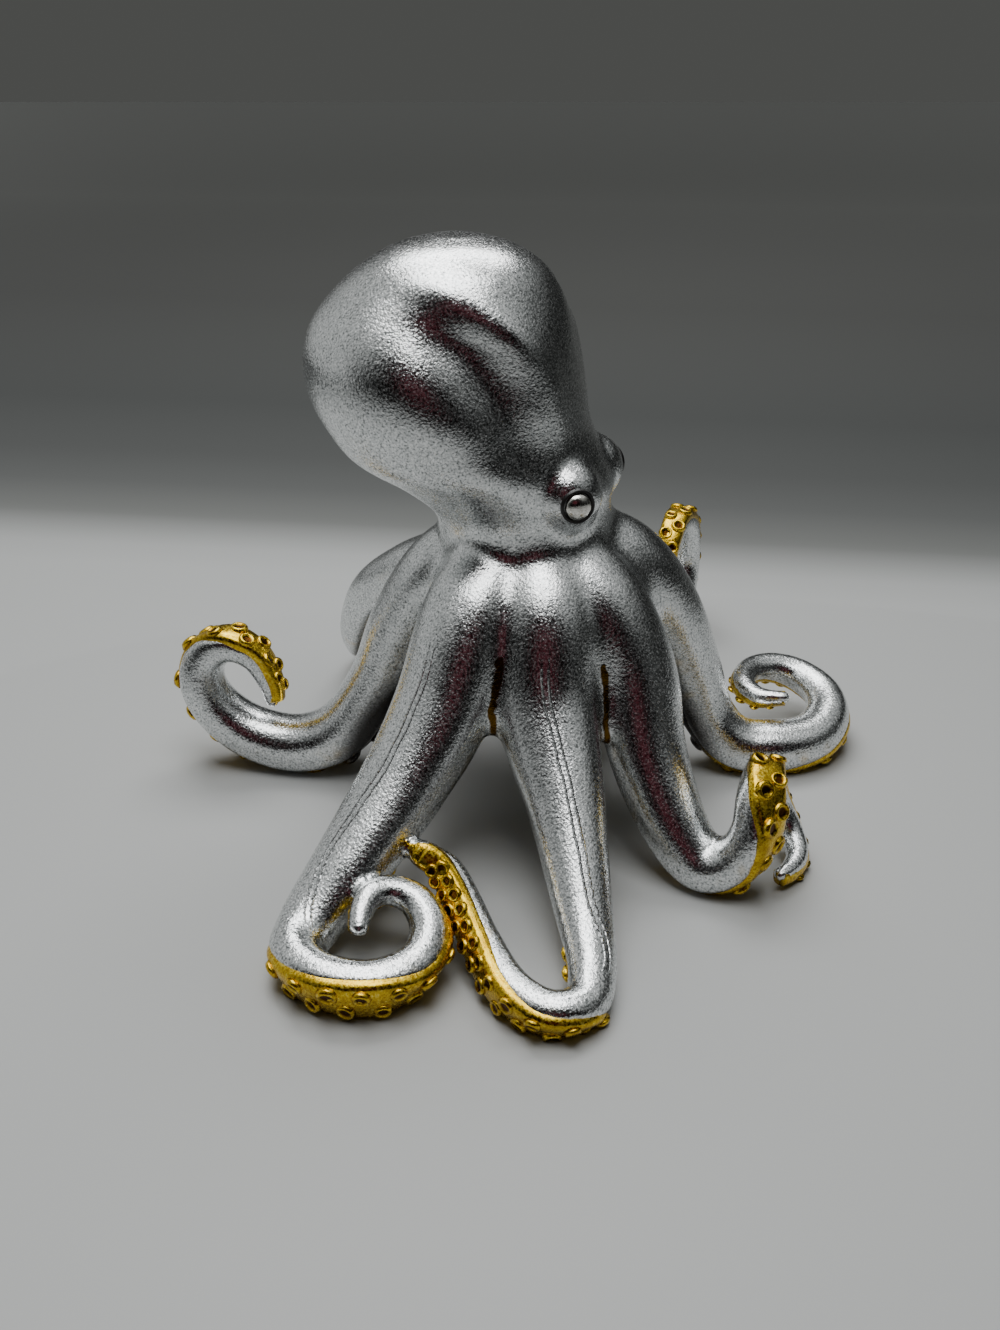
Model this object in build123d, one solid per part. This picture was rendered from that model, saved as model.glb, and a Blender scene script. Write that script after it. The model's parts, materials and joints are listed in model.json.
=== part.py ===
from build123d import *
import math
import os

# An octopus figurine of cast resin, leafed in silver, with gold undersides. It stands on its
# eight curled arms. One casting holds the mantle, the head and the hub below it. Eight arm
# castings are seated round the hub, side by side. Each arm has a raised strip of suckers on its
# underside, and two polished eyes sit in blackened rims.
#
# Frame: +Z is up and the floor is z = 0. The hub stands on the Z axis before the finished parts
# are centred. +X is the viewer's right and -Y comes towards the viewer. Millimetres.

# Driving dimensions
arm_reach = 100.0
eye_height = 100.0
mantle_width = 80.0
arm_width = 20.0

# Seats of the arms round the hub
seam_clearance = 0.4
seam_cutter_width = 30.0
seam_cutter_reach = 56.0

# Sucker strips
strip_thickness = 1.8
sucker_diameter = 5.6
sucker_height = 1.4
sucker_recess = 0.9
sucker_sink = 0.4
sucker_pitch = 10.5
sucker_sides = 5
sole_height = 2.6

# Eyes and their rims
eye_diameter = 7.6
eye_stand_out = 2.4
rim_diameter = 9.8
rim_stand_out = 0.5
socket_depth = 4.0
eye_fit = 0.1
mound_diameter = 21.0

# Blocks that trim the castings
cut_overrun = 30.0
cut_reach_share = 4.0
cut_height_share = 2.0

# Section of an arm, as shares of its width and thickness. A flat underside comes first, then
# the flanks and the domed back.
section_shares = [
    (-0.38, -0.42), (0.38, -0.42), (0.48, -0.24), (0.49, 0.04), (0.38, 0.31),
    (0.15, 0.46), (-0.15, 0.46), (-0.38, 0.31), (-0.49, 0.04), (-0.48, -0.24),
]
underside_share = 0.42
strip_seat_share = 0.38
strip_face_share = 0.34
root_thickness_share = 0.82
tip_thickness_share = 0.95
sucker_row_share = 0.17
sucker_rim_share = 0.80
sucker_bore_share = 0.45
sucker_taper = 0.5
last_sucker_share = 0.94

# Route of each arm, from inside the hub to its tip. A row holds x and y as shares of the reach,
# z as a share of the eye height, the width as a share of the arm width, and the way that the
# domed back faces.
arm_route_shares = {
    "arm_1": [
        (-0.100, 0.010, 0.840, 1.30, (-0.50, 0.00, 0.85)),
        (-0.270, 0.030, 0.730, 1.30, (-0.75, 0.00, 0.66)),
        (-0.400, 0.050, 0.530, 1.20, (-0.90, 0.00, 0.45)),
        (-0.480, 0.040, 0.330, 1.14, (-0.85, 0.00, 0.50)),
        (-0.600, 0.030, 0.155, 1.10, (-0.50, -0.10, 0.86)),
        (-0.745, 0.040, 0.090, 1.04, (0.00, -0.12, 1.00)),
        (-0.895, 0.060, 0.115, 0.94, (0.35, -0.22, 0.93)),
        (-1.000, 0.075, 0.190, 0.86, (0.85, -0.26, 0.50)),
        (-1.050, 0.085, 0.285, 0.80, (1.00, -0.28, 0.05)),
        (-1.032, 0.090, 0.372, 0.70, (0.75, -0.22, -0.60)),
        (-0.960, 0.085, 0.418, 0.60, (0.15, 0.00, -1.00)),
        (-0.880, 0.070, 0.385, 0.50, (-0.65, 0.10, -0.75)),
        (-0.838, 0.060, 0.305, 0.40, (-1.00, 0.18, -0.15)),
        (-0.828, 0.055, 0.238, 0.30, (-0.95, 0.15, 0.20)),
    ],
    "arm_2": [
        (-0.080, -0.090, 0.840, 1.30, (-0.50, -0.50, 0.70)),
        (-0.180, -0.265, 0.700, 1.45, (-0.50, -0.60, 0.60)),
        (-0.258, -0.410, 0.480, 1.46, (-0.50, -0.60, 0.62)),
        (-0.365, -0.560, 0.320, 1.28, (-0.45, -0.55, 0.70)),
        (-0.510, -0.755, 0.165, 1.08, (-0.50, -0.35, 0.80)),
        (-0.590, -0.890, 0.093, 0.84, (0.20, -0.20, 0.95)),
        (-0.598, -0.985, 0.075, 0.74, (0.85, 0.10, 0.42)),
        (-0.520, -1.060, 0.071, 0.70, (0.60, 0.75, 0.20)),
        (-0.400, -1.078, 0.071, 0.68, (0.00, 0.97, 0.20)),
        (-0.300, -1.022, 0.090, 0.61, (-0.70, 0.65, 0.26)),
        (-0.272, -0.940, 0.124, 0.53, (-1.00, 0.10, 0.22)),
        (-0.305, -0.870, 0.158, 0.47, (-0.70, -0.65, 0.22)),
        (-0.370, -0.848, 0.180, 0.41, (-0.10, -1.00, 0.15)),
        (-0.424, -0.875, 0.185, 0.34, (0.70, -0.70, 0.10)),
        (-0.446, -0.925, 0.172, 0.28, (1.00, -0.15, 0.00)),
        (-0.450, -0.970, 0.155, 0.22, (0.95, 0.10, 0.10)),
    ],
    "arm_3": [
        (0.010, -0.120, 0.840, 1.30, (0.00, -0.70, 0.70)),
        (0.035, -0.290, 0.690, 1.50, (0.00, -0.85, 0.50)),
        (0.044, -0.415, 0.480, 1.50, (0.00, -0.80, 0.60)),
        (0.095, -0.640, 0.300, 1.10, (0.05, -0.63, 0.78)),
        (0.130, -0.870, 0.155, 0.80, (0.20, -0.50, 0.80)),
        (0.150, -1.020, 0.085, 0.67, (0.60, -0.10, 0.75)),
        (0.125, -1.120, 0.060, 0.60, (0.20, 0.60, 0.70)),
        (0.040, -1.155, 0.055, 0.58, (-0.10, 0.90, 0.45)),
        (-0.055, -1.085, 0.062, 0.56, (0.30, 0.85, 0.35)),
        (-0.125, -0.950, 0.085, 0.51, (0.75, 0.60, 0.10)),
        (-0.178, -0.828, 0.122, 0.46, (0.80, 0.50, -0.20)),
        (-0.228, -0.750, 0.171, 0.38, (0.70, 0.45, -0.50)),
        (-0.303, -0.725, 0.211, 0.27, (0.50, 0.40, -0.70)),
    ],
    "arm_4": [
        (0.080, -0.090, 0.840, 1.30, (0.50, -0.50, 0.70)),
        (0.215, -0.205, 0.700, 1.45, (0.55, -0.50, 0.60)),
        (0.310, -0.280, 0.520, 1.35, (0.60, -0.50, 0.60)),
        (0.345, -0.395, 0.330, 1.20, (0.50, -0.50, 0.70)),
        (0.412, -0.520, 0.168, 1.00, (0.30, -0.50, 0.80)),
        (0.490, -0.590, 0.077, 0.88, (-0.15, -0.10, 1.00)),
        (0.570, -0.618, 0.110, 0.80, (-0.70, 0.30, 0.70)),
        (0.615, -0.615, 0.195, 0.74, (-0.75, 0.65, 0.10)),
        (0.630, -0.570, 0.275, 0.66, (-0.40, 0.75, -0.50)),
        (0.655, -0.500, 0.300, 0.58, (-0.10, 0.25, -1.00)),
        (0.680, -0.440, 0.250, 0.52, (-0.25, -0.75, -0.60)),
        (0.715, -0.425, 0.165, 0.47, (-0.45, -0.85, 0.10)),
        (0.760, -0.455, 0.092, 0.41, (-0.45, -0.40, 0.70)),
        (0.775, -0.520, 0.058, 0.35, (-0.30, 0.00, 1.00)),
        (0.748, -0.580, 0.050, 0.29, (0.00, 0.10, 1.00)),
        (0.705, -0.620, 0.052, 0.23, (0.10, 0.20, 1.00)),
    ],
    "arm_5": [
        (0.100, 0.010, 0.840, 1.30, (0.50, 0.00, 0.85)),
        (0.290, 0.030, 0.760, 1.40, (0.75, 0.00, 0.66)),
        (0.430, 0.055, 0.590, 1.30, (0.85, 0.00, 0.50)),
        (0.530, 0.075, 0.370, 1.15, (0.85, 0.00, 0.50)),
        (0.600, 0.060, 0.190, 1.00, (0.75, -0.10, 0.65)),
        (0.695, 0.035, 0.094, 0.98, (0.20, -0.06, 0.97)),
        (0.825, 0.035, 0.083, 0.96, (0.00, 0.02, 1.00)),
        (0.940, 0.075, 0.088, 0.88, (-0.25, 0.15, 0.95)),
        (1.015, 0.165, 0.115, 0.76, (-0.45, -0.10, 0.90)),
        (1.022, 0.275, 0.142, 0.64, (-0.40, -0.30, 0.85)),
        (0.960, 0.365, 0.165, 0.57, (-0.20, -0.50, 0.80)),
        (0.870, 0.385, 0.186, 0.50, (0.10, -0.50, 0.85)),
        (0.785, 0.340, 0.196, 0.44, (0.40, -0.30, 0.85)),
        (0.745, 0.230, 0.202, 0.38, (0.45, 0.00, 0.90)),
        (0.778, 0.140, 0.204, 0.31, (0.30, 0.35, 0.90)),
        (0.855, 0.112, 0.213, 0.23, (0.00, 0.50, 0.85)),
    ],
    "arm_6": [
        (0.080, 0.090, 0.840, 1.30, (0.50, 0.50, 0.70)),
        (0.190, 0.210, 0.720, 1.30, (0.50, 0.55, 0.66)),
        (0.290, 0.350, 0.520, 1.10, (0.50, 0.60, 0.60)),
        (0.380, 0.510, 0.300, 0.95, (0.45, 0.60, 0.60)),
        (0.470, 0.690, 0.130, 0.82, (0.30, 0.50, 0.80)),
        (0.545, 0.870, 0.065, 0.74, (0.00, 0.00, 1.00)),
        (0.620, 1.020, 0.130, 0.66, (-0.30, -0.60, 0.75)),
        (0.655, 1.110, 0.270, 0.60, (-0.35, -0.90, 0.10)),
        (0.640, 1.070, 0.430, 0.56, (-0.20, -0.60, -0.75)),
        (0.590, 0.970, 0.490, 0.52, (0.00, 0.20, -1.00)),
        (0.550, 0.875, 0.430, 0.46, (0.20, 0.90, -0.40)),
        (0.555, 0.870, 0.330, 0.38, (0.30, 0.90, 0.40)),
        (0.585, 0.935, 0.280, 0.28, (0.10, 0.20, 0.95)),
    ],
    "arm_7": [
        (-0.080, 0.090, 0.840, 1.30, (-0.50, 0.50, 0.70)),
        (-0.215, 0.215, 0.690, 1.30, (-0.30, 0.30, 0.90)),
        (-0.380, 0.360, 0.570, 1.20, (-0.40, 0.35, 0.85)),
        (-0.520, 0.500, 0.420, 1.10, (-0.60, 0.50, 0.60)),
        (-0.590, 0.640, 0.210, 0.94, (-0.60, 0.50, 0.60)),
        (-0.560, 0.800, 0.077, 0.82, (0.00, 0.10, 1.00)),
        (-0.460, 0.920, 0.070, 0.74, (0.00, 0.00, 1.00)),
        (-0.330, 0.965, 0.075, 0.66, (0.10, -0.20, 1.00)),
        (-0.215, 0.910, 0.095, 0.60, (-0.10, -0.30, 0.90)),
        (-0.205, 0.795, 0.130, 0.52, (-0.10, -0.20, 0.90)),
        (-0.285, 0.725, 0.165, 0.44, (0.10, 0.00, 1.00)),
        (-0.375, 0.755, 0.190, 0.34, (0.10, 0.20, 1.00)),
        (-0.390, 0.825, 0.200, 0.25, (0.10, 0.10, 1.00)),
    ],
    "arm_8": [
        (0.000, 0.120, 0.840, 1.30, (0.00, 0.60, 0.75)),
        (0.010, 0.270, 0.700, 1.30, (0.00, 0.80, 0.60)),
        (0.030, 0.410, 0.480, 1.15, (0.00, 0.80, 0.60)),
        (0.050, 0.560, 0.280, 1.00, (0.00, 0.70, 0.70)),
        (0.060, 0.710, 0.130, 0.86, (0.00, 0.50, 0.85)),
        (0.080, 0.870, 0.075, 0.76, (0.10, 0.20, 1.00)),
        (0.160, 0.985, 0.070, 0.68, (0.00, 0.00, 1.00)),
        (0.275, 1.000, 0.080, 0.62, (-0.20, -0.10, 1.00)),
        (0.325, 0.900, 0.105, 0.55, (-0.30, -0.10, 0.95)),
        (0.260, 0.825, 0.140, 0.44, (-0.10, 0.10, 1.00)),
        (0.185, 0.860, 0.165, 0.30, (0.20, 0.20, 1.00)),
    ],
}
route_steps = 2
strip_start_row = 2

# Level rings of the mantle, head and hub. A row holds z as a share of the eye height; the
# centre's x and y and the two radii as shares of the mantle's width; then the height of the
# brow ridges as a share of the radius and their angle from the face, in degrees.
head_ring_shares = [
    (0.60, 0.00, 0.00, 0.29, 0.29, 0.00, 42.0),
    (0.70, 0.00, 0.00, 0.33, 0.33, 0.00, 42.0),
    (0.80, 0.00, 0.00, 0.33, 0.33, 0.00, 42.0),
    (0.88, -0.01, 0.00, 0.32, 0.32, 0.00, 42.0),
    (0.95, -0.04, 0.01, 0.34, 0.33, 0.00, 38.0),
    (1.02, -0.10, 0.03, 0.405, 0.38, 0.03, 36.0),
    (1.09, -0.192, 0.04, 0.463, 0.43, 0.07, 31.0),
    (1.17, -0.255, 0.06, 0.480, 0.465, 0.10, 29.0),
    (1.26, -0.295, 0.075, 0.495, 0.49, 0.10, 28.0),
    (1.36, -0.317, 0.09, 0.488, 0.49, 0.08, 29.0),
    (1.45, -0.312, 0.10, 0.456, 0.46, 0.055, 37.0),
    (1.53, -0.29, 0.10, 0.395, 0.40, 0.03, 52.0),
    (1.60, -0.27, 0.10, 0.31, 0.31, 0.00, 80.0),
    (1.65, -0.265, 0.10, 0.20, 0.20, 0.00, 80.0),
    (1.675, -0.26, 0.10, 0.08, 0.08, 0.00, 80.0),
]
ring_points = 36
face_heading = -18.0
ridge_spread = 12.0
valley_offset = 24.0
valley_share = 1.0

# Places of the eyes, the same on each side of the face
eye_turn = 44.0
eye_out_share = 0.375
eye_axis_turn = 54.0
eye_rise_share = 1.02
eye_centre_x_share = -0.02
mound_sink_share = 0.47


# Vector helpers for the routes
def blend_rows(before, here, after, beyond, step):
    """Return one value on the smooth curve that passes through four rows."""
    turn = -before + here * 3 - after * 3 + beyond
    sway = before * 2 - here * 5 + after * 4 - beyond
    return here + ((after - before) + (sway + turn * step) * step) * (step / 2)


def route_rows(name):
    """Turn an arm's shares into (place, width, back) rows in real sizes."""
    rows = []
    for x, y, z, width, back in arm_route_shares[name]:
        place = Vector(x * arm_reach, y * arm_reach, z * eye_height)
        rows.append((place, width * arm_width, Vector(*back)))
    return rows


def fine_rows(rows):
    """Add rows between the given ones along a smooth curve."""
    first = tuple(a * 2 - b for a, b in zip(rows[0], rows[1]))
    last = tuple(a * 2 - b for a, b in zip(rows[-1], rows[-2]))
    line = [first] + rows + [last]
    fine = []
    for index in range(len(rows) - 1):
        spans = list(zip(*line[index:index + 4]))
        for count in range(route_steps):
            fine.append(tuple(blend_rows(*span, count / route_steps) for span in spans))
    fine.append(rows[-1])
    return fine


def route_frames(name):
    """List the section planes of an arm with its width and thickness at each."""
    rows = fine_rows(route_rows(name))
    frames = []
    for index, (place, width, back) in enumerate(rows):
        ahead = rows[min(index + 1, len(rows) - 1)][0]
        behind = rows[max(index - 1, 0)][0]
        tangent = (ahead - behind).normalized()
        back = (back - tangent * back.dot(tangent)).normalized()
        side = tangent.cross(back)
        along = index / (len(rows) - 1)
        thick_share = root_thickness_share + (tip_thickness_share - root_thickness_share) * along
        frames.append((place, side, back, width, width * thick_share))
    return frames


def section_wire(frame, shares, drop=0.0):
    """Draw a closed outline of shares in one frame, lowered below the underside by drop."""
    place, side, back, width, thickness = frame
    points = []
    for across, up in shares:
        points.append(place + side * (across * width) + back * (up * thickness - drop))
    return points


def ruled_solid(outlines):
    """Loft straight faces through a row of outlines with as many points each."""
    wires = [Wire.make_polygon(points, close=True) for points in outlines]
    return Solid.make_loft(wires, ruled=True)


# The head, the mantle and the hub below them
def ring_outline(row):
    """One level ring of the head, with its brow ridges and the valleys beside them."""
    z, cx, cy, rx, ry, ridge, turn = row
    points = []
    for count in range(ring_points):
        angle = count * 360 / ring_points
        swell = 1.0
        for way in (-1, 1):
            off = (angle - face_heading - way * turn + 180) % 360 - 180
            dip = (angle - face_heading - way * (turn + valley_offset) + 180) % 360 - 180
            swell += ridge * math.exp(-(off / ridge_spread) ** 2)
            swell -= ridge * valley_share * math.exp(-(dip / ridge_spread) ** 2)
        heading = math.radians(angle)
        x = (cx + rx * swell * math.cos(heading)) * mantle_width
        y = (cy + ry * swell * math.sin(heading)) * mantle_width
        points.append(Vector(x, y, z * eye_height))
    return points


def eye_plane(way):
    """The plane on the skin at an eye, with its normal along the eye's axis."""
    place_heading = math.radians(face_heading + way * eye_turn)
    axis_heading = math.radians(face_heading + way * eye_axis_turn)
    out = eye_out_share * mantle_width
    centre = Vector(eye_centre_x_share * mantle_width, 0, eye_rise_share * eye_height)
    place = centre + Vector(out * math.cos(place_heading), out * math.sin(place_heading), 0)
    return Plane(place, z_dir=(math.cos(axis_heading), math.sin(axis_heading), 0))


def eye_mound(way):
    """The swelling that carries an eye."""
    plane = eye_plane(way)
    middle = plane.offset(-mound_sink_share * mound_diameter)
    return middle.location * Sphere(mound_diameter / 2)


def eye_socket(way):
    """The round recess that takes an eye and its rim."""
    plane = eye_plane(way)
    depth = socket_depth + rim_diameter
    middle = plane.offset(depth / 2 - socket_depth)
    return middle.location * Cylinder(rim_diameter / 2, depth)


def make_head():
    head = ruled_solid([ring_outline(row) for row in head_ring_shares])
    for way in (-1, 1):
        head = head + eye_mound(way)
    for way in (-1, 1):
        head = head - eye_socket(way)
    return head


def make_eye(way):
    """A polished button with a domed face and a straight shank."""
    plane = eye_plane(way).offset(-socket_depth)
    radius = eye_diameter / 2
    crown = eye_stand_out
    dome_radius = (radius ** 2 + crown ** 2) / (2 * crown)
    shank = plane.offset(socket_depth / 2).location * Cylinder(radius, socket_depth)
    dome = plane.offset(socket_depth + crown - dome_radius).location * Sphere(dome_radius)
    trim = plane.offset(socket_depth + crown / 2).location * Cylinder(radius, crown)
    return shank + (dome & trim)


def make_rim(way):
    """The blackened ring between an eye and its socket."""
    plane = eye_plane(way).offset(-socket_depth)
    length = socket_depth + rim_stand_out
    middle = plane.offset(length / 2).location
    ring = middle * Cylinder(rim_diameter / 2, length)
    bore = middle * Cylinder(eye_diameter / 2 + eye_fit, length)
    return ring - bore


# The arms
def root_heading(name):
    """The way in which an arm leaves the hub, in degrees."""
    x, y = arm_route_shares[name][1][:2]
    return math.degrees(math.atan2(y, x)) % 360


def seam_headings(name):
    """The headings of the two seams beside an arm, halfway to its neighbours."""
    headings = sorted(root_heading(other) for other in arm_route_shares)
    here = headings.index(root_heading(name))
    own = headings[here]
    before = headings[here - 1]
    after = headings[(here + 1) % len(headings)]
    return own - ((own - before) % 360) / 2, own + ((after - own) % 360) / 2


def seam_cutter(heading, way):
    """A block that trims one flank of an arm back to its seam."""
    height = eye_height * cut_height_share
    corner = (Align.MIN, Align.MIN, Align.CENTER)
    block = Box(seam_cutter_reach, seam_cutter_width, height, align=corner)
    shift = -seam_clearance / 2 if way > 0 else seam_clearance / 2 - seam_cutter_width
    return Rotation(0, 0, heading) * Pos(0, shift, 0) * block


def floor_block():
    """Everything below the floor, which sands the soles flat."""
    size = arm_reach * cut_reach_share
    return Pos(0, 0, -cut_overrun / 2) * Box(size, size, cut_overrun)


def make_arm(name, head):
    frames = route_frames(name)
    arm = ruled_solid([section_wire(frame, section_shares) for frame in frames])
    low, high = seam_headings(name)
    return arm - seam_cutter(low, -1) - seam_cutter(high, 1) - head - floor_block()


# The strips of suckers
def faceted_cone(levels):
    """Loft a cone with flat sides through (diameter, height) levels."""
    outlines = []
    for width, z in levels:
        corners = [math.radians(corner * 360 / sucker_sides) for corner in range(sucker_sides)]
        outline = [Vector(math.cos(a) * width / 2, math.sin(a) * width / 2, z) for a in corners]
        outlines.append(outline)
    return ruled_solid(outlines)


def sucker_blank():
    """One sucker at full size on the XY plane: a cup whose foot is sunk a little below it."""
    mouth = sucker_diameter * sucker_rim_share
    wall = [(sucker_diameter, -sucker_sink), (mouth, sucker_height)]
    bore_depth = sucker_height - sucker_recess
    bore = [(mouth * sucker_bore_share, bore_depth), (mouth * sucker_rim_share, sucker_height)]
    return faceted_cone(wall) - faceted_cone(bore)


def strip_places(frames):
    """Points along the strip at an even pitch: (frame before, frame after, share between)."""
    places = []
    travelled = 0.0
    following = sucker_pitch
    for before, after in zip(frames, frames[1:]):
        length = (after[0] - before[0]).length
        while following <= travelled + length:
            places.append((before, after, (following - travelled) / length))
            following += sucker_pitch
        travelled += length
    return places


def strip_base(frames):
    """The plain strip, whose upper face lies on the arm's flat underside."""
    seat = [(strip_seat_share, -underside_share), (-strip_seat_share, -underside_share)]
    face = [(-strip_face_share, -underside_share), (strip_face_share, -underside_share)]
    outlines = []
    for frame in frames:
        outlines.append(section_wire(frame, seat) + section_wire(frame, face, strip_thickness))
    return ruled_solid(outlines)


def sucker_cups(frames):
    """Two staggered rows of suckers that shrink with the arm. The sanded sole has none."""
    blank = sucker_blank()
    cups = []
    places = strip_places(frames)
    for count, (before, after, share) in enumerate(places):
        mixed = [a * (1 - share) + b * share for a, b in zip(before, after)]
        place, side, back, width, thickness = mixed
        tangent = (after[0] - before[0]).normalized()
        back = (back - tangent * back.dot(tangent)).normalized()
        side = tangent.cross(back)
        way = 1 if count % 2 else -1
        centre = place + side * (way * sucker_row_share * width)
        centre = centre - back * (underside_share * thickness + strip_thickness)
        on_sole = centre.Z < sole_height
        on_tip = count > len(places) * last_sucker_share
        if not on_sole and not on_tip:
            plane = Plane(centre, x_dir=tangent, z_dir=-back)
            size_share = (width / frames[0][3]) ** sucker_taper
            cups.append(plane.location * scale(blank, by=size_share))
    return cups


def make_strip(name, arm):
    frames = route_frames(name)[strip_start_row * route_steps:]
    strip = strip_base(frames).fuse(*sucker_cups(frames)) - arm - floor_block()
    # A tight curl can cut a crumb off a sucker's foot: the strip itself is the largest solid
    return max(strip.solids(), key=lambda solid: solid.volume)


def build_all():
    os.makedirs("parts", exist_ok=True)
    head = make_head()
    nodes = {"mantle_head": head}
    for name in arm_route_shares:
        arm = make_arm(name, head)
        nodes[name] = arm
        nodes[name.replace("arm", "sucker_strip")] = make_strip(name, arm)
    for side, way in (("right", -1), ("left", 1)):
        nodes["eye_" + side] = make_eye(way)
        nodes["eye_rim_" + side] = make_rim(way)
    # The whole figurine is centred over the origin by its outline
    boxes = [shape.bounding_box() for shape in nodes.values()]
    left = min(box.min.X for box in boxes)
    right = max(box.max.X for box in boxes)
    front = min(box.min.Y for box in boxes)
    back = max(box.max.Y for box in boxes)
    top = max(box.max.Z for box in boxes)
    centring = Pos(-(left + right) / 2, -(front + back) / 2, 0)
    for name, shape in nodes.items():
        export_step(centring * shape, "parts/" + name + ".step")
        print(name, round(shape.volume), "cubic mm,", len(shape.solids()), "solid")
    print("Hub axis at", -(left + right) / 2, -(front + back) / 2)
    print("Size", right - left, back - front, top)


build_all()
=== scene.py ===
# %% [markdown]
# # An octopus figurine in leafed resin
# The real object is a tabletop ornament: a resin casting of an octopus that stands on its curled
# arms. Silver leaf covers the back of it, gold leaf covers the undersides with their suckers, and
# the eyes are set in blackened rims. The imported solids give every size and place. Each visible
# piece below is made again in a fine mesh, in the same place as its own solid.

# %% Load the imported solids
import json
import math
import random
from functools import partial

import bmesh
import bpy
from mathutils import Matrix, Vector, kdtree

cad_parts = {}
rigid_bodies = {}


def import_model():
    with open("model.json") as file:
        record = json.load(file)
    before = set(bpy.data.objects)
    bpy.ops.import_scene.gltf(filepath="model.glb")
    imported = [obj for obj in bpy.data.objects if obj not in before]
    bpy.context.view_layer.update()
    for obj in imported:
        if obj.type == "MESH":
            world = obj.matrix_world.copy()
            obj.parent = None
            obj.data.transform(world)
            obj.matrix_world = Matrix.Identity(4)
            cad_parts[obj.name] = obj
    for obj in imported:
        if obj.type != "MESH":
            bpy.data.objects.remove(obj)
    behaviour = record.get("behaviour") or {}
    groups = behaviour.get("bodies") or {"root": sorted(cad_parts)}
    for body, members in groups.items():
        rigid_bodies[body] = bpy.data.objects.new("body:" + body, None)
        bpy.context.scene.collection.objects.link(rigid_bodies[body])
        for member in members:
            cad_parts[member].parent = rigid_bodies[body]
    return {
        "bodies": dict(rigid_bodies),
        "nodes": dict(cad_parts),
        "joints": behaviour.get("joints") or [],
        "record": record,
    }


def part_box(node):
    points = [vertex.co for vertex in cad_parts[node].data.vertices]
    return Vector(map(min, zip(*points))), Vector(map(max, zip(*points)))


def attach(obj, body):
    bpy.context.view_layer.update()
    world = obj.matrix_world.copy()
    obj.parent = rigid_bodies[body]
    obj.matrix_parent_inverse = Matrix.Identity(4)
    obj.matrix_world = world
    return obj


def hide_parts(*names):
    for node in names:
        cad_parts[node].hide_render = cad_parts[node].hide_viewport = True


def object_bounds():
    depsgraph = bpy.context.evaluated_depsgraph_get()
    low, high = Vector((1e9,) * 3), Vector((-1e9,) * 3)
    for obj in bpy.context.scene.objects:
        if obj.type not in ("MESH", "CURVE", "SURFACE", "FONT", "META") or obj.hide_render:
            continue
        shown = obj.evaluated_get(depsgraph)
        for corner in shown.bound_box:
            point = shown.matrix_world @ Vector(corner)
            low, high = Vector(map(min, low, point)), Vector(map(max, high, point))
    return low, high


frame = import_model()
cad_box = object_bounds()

mm = 0.001
cad_size = (cad_box[1] - cad_box[0]) / mm
print("Solids loaded:", len(frame["nodes"]), "and the box in mm is", tuple(round(s, 1) for s in cad_size))

# %% [markdown]
# ## Where the hub stands
# The routes of the arms are measured from the hub's axis. The lowest ring of the head's solid is
# the round bottom of the hub, so the middle of that ring is the axis. Reading it from the solid
# keeps the scene right when the solids are centred anew.

# %% Find the hub's axis
arm_reach = 100 * mm
eye_height = 100 * mm
mantle_width = 80 * mm
arm_width = 20 * mm
hub_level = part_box("mantle_head")[0].z
hub_ring = [v.co for v in frame["nodes"]["mantle_head"].data.vertices if v.co.z < hub_level + 0.1 * mm]
hub = Vector((
    (min(co.x for co in hub_ring) + max(co.x for co in hub_ring)) / 2,
    (min(co.y for co in hub_ring) + max(co.y for co in hub_ring)) / 2,
    0,
))
print("Hub axis in mm:", round(hub.x / mm, 2), round(hub.y / mm, 2))

# %% [markdown]
# ## The routes of the arms
# Each arm of the casting is a tapered tube that sweeps down from the hub and curls its own way.
# It could be a curve with a bevel, but a curve turns its section by itself, and these arms keep a
# flat underside. So a route is a short table, chosen from the photograph: x and y as
# shares of the reach, z as a share of the eye height, the width as a share of the arm width, and
# three numbers for the way that the domed back faces. The solids follow the same routes. A few
# rows near the tips are slimmer or turned further here, so that the gold undersides show as they
# do on the real one.

# %% The route tables
arm_route_shares = {}
arm_route_shares["arm_1"] = [
    (-0.1, 0.01, 0.84, 1.3, -0.5, 0, 0.85),
    (-0.27, 0.03, 0.73, 1.3, -0.75, 0, 0.66),
    (-0.4, 0.05, 0.53, 1.2, -0.9, 0, 0.45),
    (-0.48, 0.04, 0.33, 1.14, -0.85, 0, 0.5),
    (-0.6, 0.03, 0.155, 1.1, -0.5, -0.1, 0.86),
    (-0.745, 0.04, 0.09, 1.04, 0, -0.12, 1),
    (-0.895, 0.06, 0.115, 0.94, 0.35, -0.22, 0.93),
    (-1, 0.075, 0.19, 0.86, 0.85, -0.26, 0.5),
    (-1.05, 0.085, 0.285, 0.8, 1, -0.28, 0.05),
    (-1.032, 0.09, 0.372, 0.7, 0.7, -0.6, -0.45),
    (-0.96, 0.085, 0.418, 0.6, 0.15, 0, -1),
    (-0.88, 0.07, 0.385, 0.5, -0.65, 0.1, -0.75),
    (-0.838, 0.06, 0.305, 0.4, -1, 0.18, -0.15),
    (-0.828, 0.055, 0.238, 0.3, -0.95, 0.15, 0.2),
]
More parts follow.
